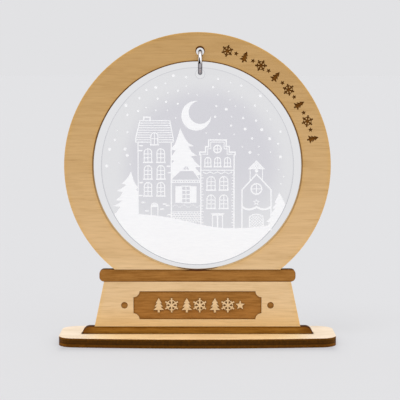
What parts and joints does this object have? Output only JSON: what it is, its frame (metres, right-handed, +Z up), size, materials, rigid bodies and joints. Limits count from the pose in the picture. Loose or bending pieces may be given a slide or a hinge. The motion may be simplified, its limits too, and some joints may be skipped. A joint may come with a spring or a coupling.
{
  "type": "stand-up snow globe decoration",
  "caption": "Flat plywood snow globe outline on a slotted base plate, with a clear engraved disc hanging in its round frame from a jump ring.",
  "frame": {"origin": "centre of the base plate's underside", "axes": "+Z up, the engraved front faces -Y, +X is the viewer's right"},
  "size_m": [0.0918, 0.0272, 0.1029],
  "materials": {
    "plywood": "bare satin plywood with burnt laser-cut edges",
    "engraved_plywood": "bare satin plywood, engraved areas burnt brown",
    "clear_acrylic": "clear polished sheet with frosted engraving",
    "chrome_wire": "bright plated wire"
  },
  "bodies": {
    "base": {"base_plate": "plywood"},
    "panel": {"globe_panel": "engraved_plywood"},
    "ring": {"jump_ring": "chrome_wire"},
    "disc": {"engraved_disc": "clear_acrylic"}
  },
  "joints": [
    {"name": "panel_lift", "type": "slide", "parent": "base", "child": "panel", "axis": [0, 0, 1], "range_m": [0, 0.01]},
    {"name": "ring_twist", "type": "hinge", "parent": "panel", "child": "ring", "pos_m": [0.00088, -0.0014, 0.09308], "axis": [0, 0, 1], "range_deg": [-10, 10]},
    {"name": "disc_swing", "type": "hinge", "parent": "ring", "child": "disc", "pos_m": [0.00088, -0.0014, 0.09308], "axis": [1, 0, 0], "range_deg": [-28, 28]}
  ]
}
